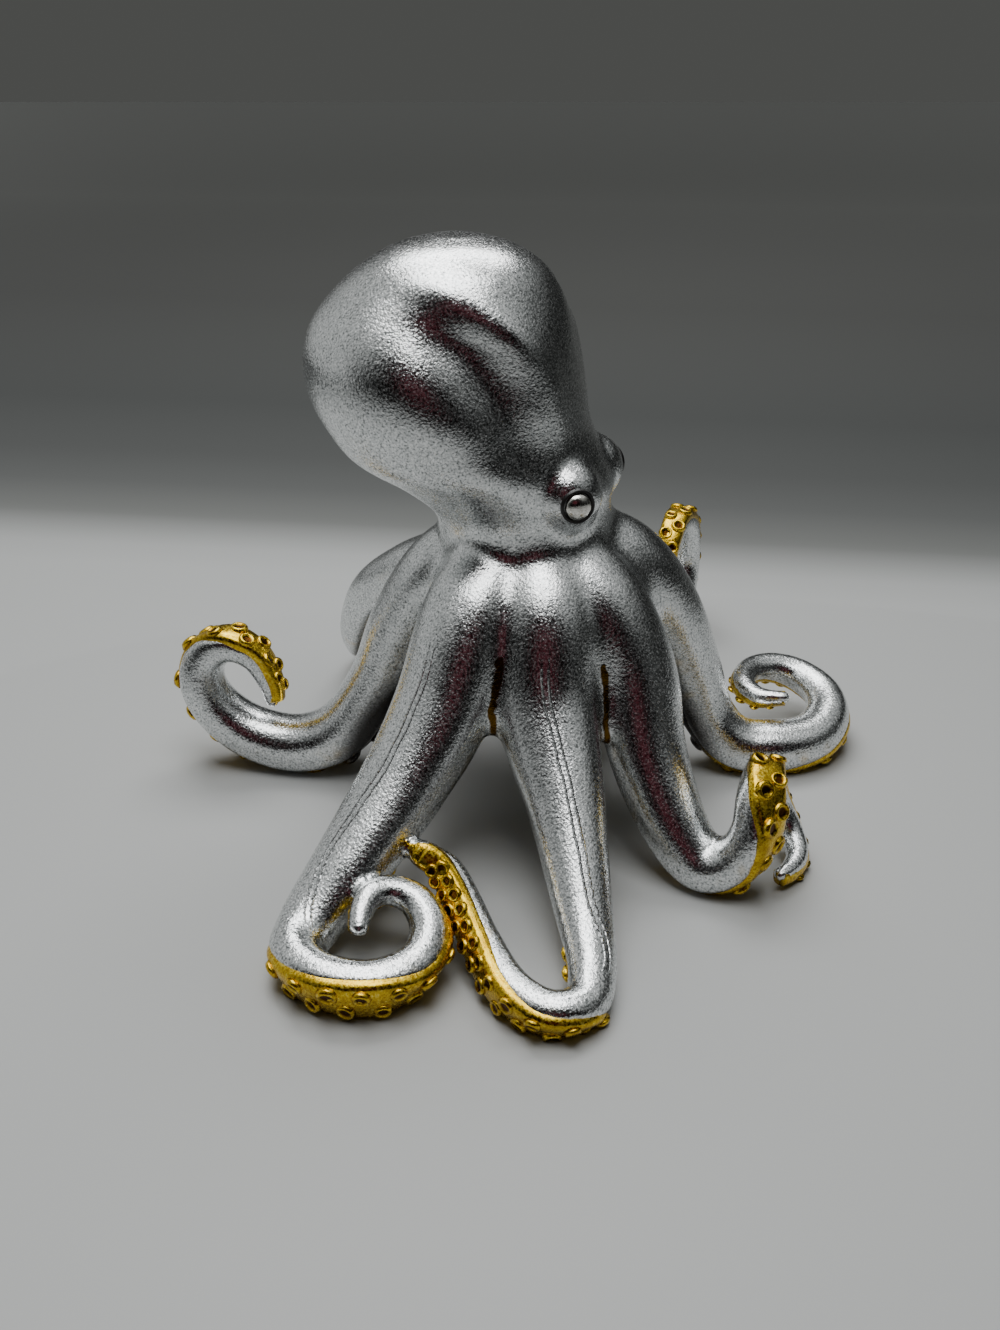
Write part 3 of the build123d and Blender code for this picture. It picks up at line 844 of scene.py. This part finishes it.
def sucker_places(frames, rows):
    """Walk down the strip: (frame, tangent, diameter, side of the strip) for each sucker."""
    total = sum((b[0] - a[0]).length for a, b in zip(frames, frames[1:]))
    walked, target, way = 0.0, first_sucker, 1
    places = []
    for index, (before, after) in enumerate(zip(frames, frames[1:])):
        length = (after[0] - before[0]).length
        while target <= walked + length and target < total - tip_margin:
            share = (target - walked) / length
            mixed = [a * (1 - share) + b * share for a, b in zip(before, after)]
            diameter = sucker_diameter * (mixed[3] / frames[0][3]) ** sucker_taper
            tangent = (after[0] - before[0]).normalized()
            places.append((mixed, tangent, diameter, way * spread_at(index, rows)))
            target += diameter * sucker_step_share
            way = -way
        walked += length
    return places


def sucker_strip(name):
    """Sweep one strip, set its suckers in it, and sand its sole flat."""
    frames = arm_frames[name][strip_start_row * route_steps:]
    rows = late_widening.get(name, usual_widening)
    bm = strip_base(frames, rows)
    bm.verts.layers.float.new("pit")
    chance = random.Random(name)
    for (place, side, back, width, thickness), tangent, diameter, way in sucker_places(frames, rows):
        back = (back - tangent * back.dot(tangent)).normalized()
        side = tangent.cross(back)
        seat = place - back * (underside_share * thickness + strip_thickness * seat_share)
        seat += side * (way * sucker_row_share * width * chance.uniform(1 - size_play, 1 + size_play))
        matrix = column_matrix(tangent, -side, -back, seat)
        size = diameter * chance.uniform(1 - size_play, 1 + size_play)
        for axis in "XY":
            matrix = matrix @ Matrix.Rotation(chance.uniform(-tilt_play, tilt_play), 4, axis)
        start = len(bm.verts)
        bm.from_mesh(one_sucker)
        bm.verts.ensure_lookup_table()
        bmesh.ops.transform(bm, matrix=matrix @ Matrix.Scale(size, 4), verts=bm.verts[start:])
    sand_flat(bm)
    return bm


strips = {name.replace("arm", "sucker_strip"): sucker_strip(name) for name in arm_route_shares}
print("Strips:", {name: len(bm.faces) for name, bm in strips.items()})

# %% [markdown]
# ## The eyes and their rims
# Each eye is a low polished dome in a blackened groove. Both are lathe shapes on the eye's own
# axis: the dome as a stack of shrinking rings, and the rim as a ring with a rounded lip that dips
# towards the dome.

# %% Turn the eyes and the rims
eye_radius = 3.8 * mm
eye_stand_out = 2.4 * mm
rim_radius = 4.9 * mm
rim_stand_out = 0.5 * mm
eye_depth = 4.0 * mm
groove = 0.1 * mm
eye_points = 48
dome_rings = 12


def turned(profile, way):
    """Lathe a profile and set it on the plane of one eye."""
    bm = bmesh.new()
    lathe(bm, profile, eye_points)
    bmesh.ops.transform(bm, matrix=eye_matrix(way), verts=bm.verts)
    return bm


turns = [count / dome_rings * math.pi / 2 for count in range(1, dome_rings)]
dome_profile = [(eye_radius, -eye_depth), (eye_radius, 0)]
dome_profile += [(eye_radius * math.cos(turn), eye_stand_out * math.sin(turn)) for turn in turns]
lip = rim_radius - rim_stand_out
rim_profile = [
    (rim_radius, -eye_depth), (rim_radius, -groove), (rim_radius - groove, rim_stand_out * 0.6),
    (lip, rim_stand_out), (lip - groove, rim_stand_out * 0.8), (eye_radius - groove, -rim_stand_out),
]
eye_sides = {"right": -1, "left": 1}
eyes = {"eye_" + side: turned(dome_profile, way) for side, way in eye_sides.items()}
rims = {"eye_rim_" + side: turned(rim_profile, way) for side, way in eye_sides.items()}
print("Eyes and rims:", len(eyes) + len(rims))

# %% [markdown]
# ## Setting the castings in the frame
# Each casting becomes a piece that rides on the one body and stands for its own solid. Where it
# meets its neighbours, its shading uses the normals of the whole skin.

# %% Place the pieces
seam_facing = 0.5


def placed(name, bm, node):
    bmesh.ops.recalc_face_normals(bm, faces=bm.faces)
    for face in bm.faces:
        face.smooth = True
    piece = linked(name, as_mesh(name, bm))
    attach(piece, "root")
    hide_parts(node)
    return piece


def keep_whole_normals(mesh):
    seam = mesh.attributes[seam_layer_name].data
    whole = mesh.attributes["whole_normal"].data
    normals = [(0, 0, 0)] * len(mesh.loops)
    for polygon in mesh.polygons:
        for index in polygon.loop_indices:
            vertex = mesh.loops[index].vertex_index
            normal = whole[vertex].vector
            if seam[vertex].value and polygon.normal.dot(normal) > seam_facing:
                normals[index] = normal
    mesh.normals_split_custom_set(normals)


silver_pieces = [placed(name + "_leafed", bm, name) for name, bm in castings.items()]
for piece in silver_pieces:
    keep_whole_normals(piece.data)
gold_pieces = [placed(name + "_leafed", bm, name) for name, bm in strips.items()]
eye_pieces = [placed(name + "_polished", bm, name) for name, bm in eyes.items()]
rim_pieces = [placed(name + "_lacquered", bm, name) for name, bm in rims.items()]
print("Pieces placed:", len(silver_pieces) + len(gold_pieces) + len(eye_pieces) + len(rim_pieces))

# %% [markdown]
# ## Tools for the finishes
# A colour is given as the hex value that a screen shows, and turned linear once. One helper adds
# a node with its settings, and feeds its inputs with plain values or with other nodes' outputs.
# A map range lists its source, from low to high, and where needed the two new ends.

# %% Colour and node helpers
def linear(hex_code):
    """Turn an sRGB hex colour into the linear values that the shaders use."""
    channels = [int(hex_code[i:i + 2], 16) / 255 for i in (1, 3, 5)]
    return tuple(c / 12.92 if c <= 0.04045 else ((c + 0.055) / 1.055) ** 2.4 for c in channels) + (1.0,)


def add_node(tree, kind, inputs=(), output=0, stops=(), **settings):
    """Add one node: its settings, its colour stops, and its inputs in order or by their names."""
    node = tree.nodes.new("ShaderNode" + kind)
    for key, value in settings.items():
        setattr(node, key, value)
    for count, (position, hex_code) in enumerate(stops):
        elements = node.color_ramp.elements
        stop = elements[count] if count < 2 else elements.new(position)
        stop.position = position
        stop.color = linear(hex_code)
    for key, value in inputs.items() if isinstance(inputs, dict) else enumerate(inputs):
        if isinstance(value, bpy.types.NodeSocket):
            tree.links.new(value, node.inputs[key])
        else:
            node.inputs[key].default_value = value
    return node.outputs[output] if node.outputs else None


def new_material(name):
    """Make an empty material, tie the node helper to its tree, and read the Object coordinates."""
    material = bpy.data.materials.new(name)
    material.use_nodes = True
    material.node_tree.nodes.clear()
    add = partial(add_node, material.node_tree)
    return material, add, add("TexCoord", output="Object")


smooth = {"interpolation_type": "SMOOTHSTEP"}
grainy = {"Detail": 2.0, "Roughness": 0.6}
plain = {"Detail": 1.0, "Roughness": 0.6}
print("Helpers ready")

# %% [markdown]
# ## The feel of hand-laid leaf
# Silver and gold leaf are thin metal foils rubbed onto sandy resin. Both show a fine crinkle that
# sparkles over broad soft dents, so both finishes share one normal. The real crinkle is about
# half a millimetre, and it is drawn half as coarse again, so that a picture of this size shows
# it. The hollow under the hub is painted dark brown and not metallic: painted shade, which keeps
# the shade there deep.

# %% Crinkle and painted shade under the hub
crinkle_size = 0.75 * mm  # drawn coarser than the real 0.5 mm
silver_crinkle_height = 0.15 * mm
gold_crinkle_height = 0.07 * mm
dent_size = 9 * mm
dent_height = 0.16 * mm
brush_turn = (0.3, 0.5, 0.9)
brush_stretch = (1.0, 0.75, 1.0)
# Painted shade: a dark brown, not metallic, in the hollow under the hub.
hub_shade_colour = "#1A1410"
hub_shade_reach = (62 * mm, 62 * mm, 52 * mm)
hub_shade_border = (1.06, 0.92)
grain_range = (0.3, 0.7)


def leaf_normal(add, place, crinkle_height):
    dents = add("TexNoise", {"Vector": place, "Scale": 1 / dent_size, **plain})
    normal = add("Bump", {"Height": dents, "Distance": dent_height})
    brushed = add("Mapping", {"Vector": place, "Rotation": brush_turn, "Scale": brush_stretch})
    crinkle = add("TexNoise", {"Vector": brushed, "Scale": 1 / crinkle_size, **grainy})
    return add("Bump", {"Height": crinkle, "Distance": crinkle_height, "Normal": normal})


def hub_shade_mask(add, place):
    """The mask of the painted shade: 1 inside a round hollow under the hub, 0 outside it, with a soft
    border.
    """
    shares = add("Mapping", {"Vector": place, "Location": hub, "Scale": hub_shade_reach}, vector_type="TEXTURE")
    off = add("VectorMath", [shares], output="Value", operation="LENGTH")
    return add("MapRange", [off, *hub_shade_border], **smooth)


def layered(add, colour, layers):
    """Lay colours over each other, each one by its share."""
    for share, tone in layers:
        colour = add("Mix", {0: share, 6: colour, 7: tone}, output=2, data_type="RGBA")
    return colour


def burnish(add, grain, gloss, looks):
    """Close a leafed finish: the foil's grain also varies how glossy it was rubbed."""
    polish = add("MapRange", [grain, *grain_range, *gloss], **smooth)
    shader = add("BsdfPrincipled", {"Roughness": polish, **looks})
    add("OutputMaterial", [shader])


print("Crinkle height in mm:", round(silver_crinkle_height / mm, 2), "on silver")

# %% [markdown]
# ## Silver leaf with gold edges
# The silver has dark specks where the foil broke, and a warm tone where it runs into the gold.
# The gold ends at a hand-laid, uneven border. Near the hub it stays on the strip, and it climbs
# the flanks towards the tip. In the slits between the roots a dark gold line is painted, as
# painted shade of the narrow gaps. Along the crests of arms 2 and 3 the two halves of the mould
# left a pair of thin raised lines.

# %% Silver leaf
silver_tones = [(0.32, "#6E7171"), (0.42, "#C2C5C5"), (0.54, "#DFE1E1"), (0.66, "#FBFCFC")]
edge_tones = [(0.30, "#85640F"), (0.45, "#CBA022"), (0.60, "#E6C33A"), (0.72, "#F8E070")]
warm_tone = "#CDB27A"
# Gold darkened as painted shade in the slits between the roots.
slit_shade_tone = "#5A4010"
silver_gloss = (0.13, 0.28)
patch_size = 11 * mm
patch_range = (0.56, 0.72, 0, 0.45)
flank_range = (-0.08, 0.32)
slit_range = (0.10, 0.30)
border_sway = 0.14
gold_start = 0.405
gold_full = 0.445
retreat_range = (50, 22, 0, 0.8)
line_offset = 0.9  # in mm, as the attribute across is
line_width = 0.38
line_height = 0.45 * mm
line_wander_size = 14 * mm
line_wander = 1.6
line_fades = [("underside", -0.25, -0.38), ("along", 10, 18), ("along", 46, 34)]


def mould_lines(add, place, reading, normal):
    """Raise two thin lines beside the crest, which fade out down the flanks and at both ends."""
    noise = add("TexNoise", {"Vector": place, "Scale": 1 / line_wander_size, **plain})
    wander = add("Math", [noise, line_wander, -line_wander / 2], operation="MULTIPLY_ADD")
    across = add("Attribute", output="Fac", attribute_name="across")
    across = add("Math", [across, wander], operation="ADD")
    across = add("Math", [across], operation="ABSOLUTE")
    across = add("Math", [across, line_offset], operation="SUBTRACT")
    across = add("Math", [across], operation="ABSOLUTE")
    ridge = add("MapRange", [across, line_width, 0.0], **smooth)
    for name, low, high in line_fades:
        fade = add("MapRange", [reading[name], low, high], **smooth)
        ridge = add("Math", [ridge, fade], operation="MULTIPLY")
    return add("Bump", {"Height": ridge, "Distance": line_height, "Normal": normal})


def silver_leaf(name, crested):
    material, add, place = new_material(name)
    attributes = ("underside", "along", "slit_shade")
    reading = {key: add("Attribute", output="Fac", attribute_name=key) for key in attributes}
    fine = add("TexNoise", {"Vector": place, "Scale": 1 / (0.8 * crinkle_size), **grainy})
    broad = add("TexNoise", {"Vector": place, "Scale": 1 / patch_size, **grainy})

    border = add("Math", [broad, border_sway, reading["underside"]], operation="MULTIPLY_ADD")
    retreat = add("MapRange", [reading["along"], *retreat_range], **smooth)
    gilt = add("Math", [border, retreat], operation="SUBTRACT")
    gilt = add("MapRange", [gilt, gold_start, gold_full], **smooth)
    patch = add("MapRange", [broad, *patch_range], **smooth)
    flank = add("MapRange", [border, *flank_range], **smooth)
    warmth = add("Math", [patch, flank], operation="MULTIPLY")
    # Painted shade: a dark gold line in the slits between the roots.
    slit_shade = add("MapRange", [reading["slit_shade"], *slit_range], **smooth)
    # Painted shade under the hub: dark brown and not metallic.
    hub_shade = hub_shade_mask(add, place)
    colour = layered(add, add("ValToRGB", [fine], stops=silver_tones), [
        (warmth, linear(warm_tone)),
        (gilt, add("ValToRGB", [fine], stops=edge_tones)),
        (slit_shade, linear(slit_shade_tone)),
        (hub_shade, linear(hub_shade_colour)),
    ])

    normal = leaf_normal(add, place, silver_crinkle_height)
    if crested:
        normal = mould_lines(add, place, reading, normal)
    metallic = add("Math", [1.0, hub_shade], operation="SUBTRACT")
    burnish(add, fine, silver_gloss, {"Base Color": colour, "Metallic": metallic, "Normal": normal})
    return material


silver = silver_leaf("silver_leaf_on_resin", False)
crested_silver = silver_leaf("silver_leaf_with_mould_lines", True)
crested = ("arm_2_leafed", "arm_3_leafed")
for piece in silver_pieces:
    piece.data.materials.append(crested_silver if piece.name in crested else silver)
print("Silver on", len(silver_pieces), "castings")

# %% [markdown]
# ## Gold leaf with painted shade in the pits
# The suckers carry the same foil in gold. The pits are painted dark brown, as painted shade in
# the hollows, duller patches lie between them, and the rims are rubbed bright.

# %% Gold leaf
gold_tones = [(0.28, "#A07C14"), (0.45, "#CDA527"), (0.60, "#E2C23C"), (0.74, "#F6DF70")]
dull_tone = "#8A6C16"
# Painted shade in the sucker pits.
pit_shade_tone = "#4A2C0A"
gold_gloss = (0.18, 0.36)
dull_patch_size = 8 * mm
dull_range = (0.48, 0.70, 0, 0.55)


def gold_leaf():
    material, add, place = new_material("gold_leaf_on_suckers")
    fine = add("TexNoise", {"Vector": place, "Scale": 1 / crinkle_size, **grainy})
    broad = add("TexNoise", {"Vector": place, "Scale": 1 / dull_patch_size, **grainy})
    dull = add("MapRange", [broad, *dull_range], **smooth)
    # Painted shade under the hub, as on the silver.
    hub_shade = hub_shade_mask(add, place)
    colour = layered(add, add("ValToRGB", [fine], stops=gold_tones), [
        (dull, linear(dull_tone)),
        (add("Attribute", output="Fac", attribute_name="pit"), linear(pit_shade_tone)),
        (hub_shade, linear(hub_shade_colour)),
    ])
    normal = leaf_normal(add, place, gold_crinkle_height)
    metallic = add("Math", [1.0, hub_shade], operation="SUBTRACT")
    burnish(add, fine, gold_gloss, {"Base Color": colour, "Metallic": metallic, "Normal": normal})
    return material


gold = gold_leaf()
for piece in gold_pieces:
    piece.data.materials.append(gold)
print("Gold on", len(gold_pieces), "strips")

# %% [markdown]
# ## Eyes and rims
# The eyes are leafed like the body and then rubbed smoother. The groove round them is painted
# black, a hand-brushed lacquer with a soft gloss.

# %% Eye leaf and lacquer
eye_tones = [(0.32, "#B5B2AA"), (0.50, "#DEDCD6"), (0.68, "#F3F1EC")]
lacquer_tones = [(0.3, "#080707"), (0.7, "#151211")]
eye_gloss = (0.10, 0.24)
eye_grain = 0.6 * mm
brush_grain = 0.8 * mm


def eye_leaf():
    material, add, place = new_material("burnished_leaf_on_eye")
    fine = add("TexNoise", {"Vector": place, "Scale": 1 / eye_grain, **grainy})
    colour = add("ValToRGB", [fine], stops=eye_tones)
    normal = add("Bump", {"Height": fine, "Distance": 0.06 * mm})
    burnish(add, fine, eye_gloss, {"Base Color": colour, "Metallic": 1.0, "Normal": normal})
    return material


def black_lacquer():
    material, add, place = new_material("black_lacquer_in_groove")
    fine = add("TexNoise", {"Vector": place, "Scale": 1 / brush_grain, **grainy})
    colour = add("ValToRGB", [fine], stops=lacquer_tones)
    normal = add("Bump", {"Height": fine, "Distance": 0.05 * mm})
    shader = add("BsdfPrincipled", {"Base Color": colour, "Roughness": 0.32, "Normal": normal})
    add("OutputMaterial", [shader])
    return material


eye_finish = eye_leaf()
lacquer = black_lacquer()
for piece in eye_pieces:
    piece.data.materials.append(eye_finish)
for piece in rim_pieces:
    piece.data.materials.append(lacquer)
print("Finishes:", silver.name, gold.name, eye_finish.name, lacquer.name)

# %% [markdown]
# ## The camera of the photograph
# The photograph looks along +Y and 28 degrees down, from about 33 cm in front of the hub.

# %% Set the camera
camera_offset = Vector((-8.7 * mm, -334.2 * mm, 217 * mm))
camera_pitch = 28.0
camera_lens = 32.48

camera = bpy.data.cameras.new("camera")
camera.sensor_fit = "VERTICAL"
camera.sensor_height = 36.0
camera.lens = camera_lens
camera.clip_start = 10 * mm
camera_object = linked("camera", camera)
camera_object.location = hub + camera_offset
camera_object.rotation_euler = (math.radians(90 - camera_pitch), 0, 0)
bpy.context.scene.camera = camera_object
print("Camera at mm:", [round(c / mm, 1) for c in camera_object.location])

# %% [markdown]
# ## The table
# The figurine stands on a plain pale table. Behind it the colour turns dark grey and lightens
# again far back: painted shade and painted light of the light's falloff. The change is soft,
# and it is painted on the table itself, by its own Object coordinates.

# %% Lay the table
floor_size = 8.0
backdrop_turn = 0.13
floor_fade = (-0.35, 1.65)
# The pale table's colour in front, then painted shade behind the figurine and painted light far back.
table_and_falloff_shade_tones = [
    (0.0, "#C6C8C7"), (0.25, "#B7B9B8"), (0.262, "#AEB0AF"), (0.282, "#707270"), (0.305, "#5A5C5B"),
    (0.331, "#4F5150"), (0.384, "#4A4C4B"), (0.55, "#5F605E"), (0.90, "#929390"),
]


def floor():
    bm = bmesh.new()
    bmesh.ops.create_grid(bm, x_segments=1, y_segments=1, size=floor_size / 2)
    mesh = as_mesh("floor", bm)
    material, add, place = new_material("pale_table_with_painted_falloff")
    backwards = (math.sin(backdrop_turn), math.cos(backdrop_turn), 0)
    depth = add("VectorMath", [place, backwards], output="Value", operation="DOT_PRODUCT")
    depth = add("MapRange", [depth, *floor_fade])
    colour = add("ValToRGB", [depth], stops=table_and_falloff_shade_tones)
    shader = add("BsdfPrincipled", {"Base Color": colour, "Roughness": 0.55, "Specular IOR Level": 0.35})
    add("OutputMaterial", [shader])
    mesh.materials.append(material)
    piece = linked("floor", mesh)
    return piece


print("Table laid:", floor().name)

# %% [markdown]
# ## The lamps
# Two soft lamps hang overhead, one a little towards the camera and one behind the figurine. They
# light the table evenly and give the crown of the head and the arms their bright tops.

# %% Hang the lamps
def softbox(name, place, size, watts):
    lamp = bpy.data.lights.new(name, "AREA")
    lamp.shape = "RECTANGLE"
    lamp.size, lamp.size_y = size
    lamp.energy = watts
    lamp_object = linked(name, lamp)
    lamp_object.location = place
    lamp_object.rotation_euler = (lamp_aim - Vector(place)).to_track_quat("-Z", "Y").to_euler()
    return lamp_object


lamp_aim = Vector((0, 0, 0.05))
overhead = softbox("overhead_softbox", (-0.06, -0.06, 0.85), (0.65, 0.45), 4.7)
back = softbox("back_softbox", (-0.04, 0.42, 0.78), (0.70, 0.30), 4.15)
print("Lamps:", overhead.name, back.name)

# %% [markdown]
# ## The room
# Leaf mirrors its room, so the room matters as much as the lamps. It is pale above, darker near
# the horizon, bright at the left, and in front it has a dark oval with a maroon heart, which the
# front of the figurine mirrors. The camera sees one dark grey instead, and the table gets only a
# little of the room's light, so that its shadows stay deep.

# %% Paint the room
dark_heading = Vector((0.0, -0.88, 0.47))
dark_up = Vector((0.0, 0.47, 0.88))
dark_half_width = 0.80
dark_half_height = 0.58
dark_border = (0.75, 1.15)
behind_range = (0.1, -0.1)
behind_push = 2.0
left_heading = Vector((-0.90, 0.40, 0.15))
left_range = (0.60, 0.95, 0, 0.85)
room_fill = 0.15
backdrop_colour = "#4E4F4D"
left_colour = "#C4C6C5"
pale_tones = [(0.0, "#202120"), (0.30, "#343534"), (0.60, "#8C8E8D"), (0.80, "#CACCCB"), (1.0, "#D6D8D7")]
dark_tones = [(0.15, "#5E2A33"), (0.42, "#1A0F10"), (0.80, "#0C0B0B")]

world = bpy.data.worlds.new("studio")
world.use_nodes = True
world.node_tree.nodes.clear()
bpy.context.scene.world = world
add = partial(add_node, world.node_tree)
way = add("TexCoord", output="Generated")
headings = {
    "up": Vector((0, 0, 1)), "left": left_heading, "front": dark_heading,
    "aside": Vector((1 / dark_half_width, 0, 0)), "above": dark_up / dark_half_height,
}
toward = {
    name: add("VectorMath", [way, heading], output="Value", operation="DOT_PRODUCT")
    for name, heading in headings.items()
}
off = add("CombineXYZ", [toward["aside"], toward["above"]])
off = add("VectorMath", [off], output="Value", operation="LENGTH")
behind = add("MapRange", [toward["front"], *behind_range], **smooth)
off = add("Math", [behind, behind_push, off], operation="MULTIPLY_ADD")
left = add("MapRange", [toward["left"], *left_range], **smooth)
beside = add("MapRange", [off, *dark_border], **smooth)
pale = layered(add, add("ValToRGB", [toward["up"]], stops=pale_tones), [(left, linear(left_colour))])
room = layered(add, add("ValToRGB", [off], stops=dark_tones), [
    (beside, pale),
    (add("LightPath", output="Is Camera Ray"), linear(backdrop_colour)),
])
diffuse_ray = add("LightPath", output="Is Diffuse Ray")
strength = add("Math", [diffuse_ray, room_fill - 1, 1.0], operation="MULTIPLY_ADD")
add("OutputWorld", [add("Background", [room, strength])])
print("Room painted:", world.name)

# %% Finish
print("Scene built")
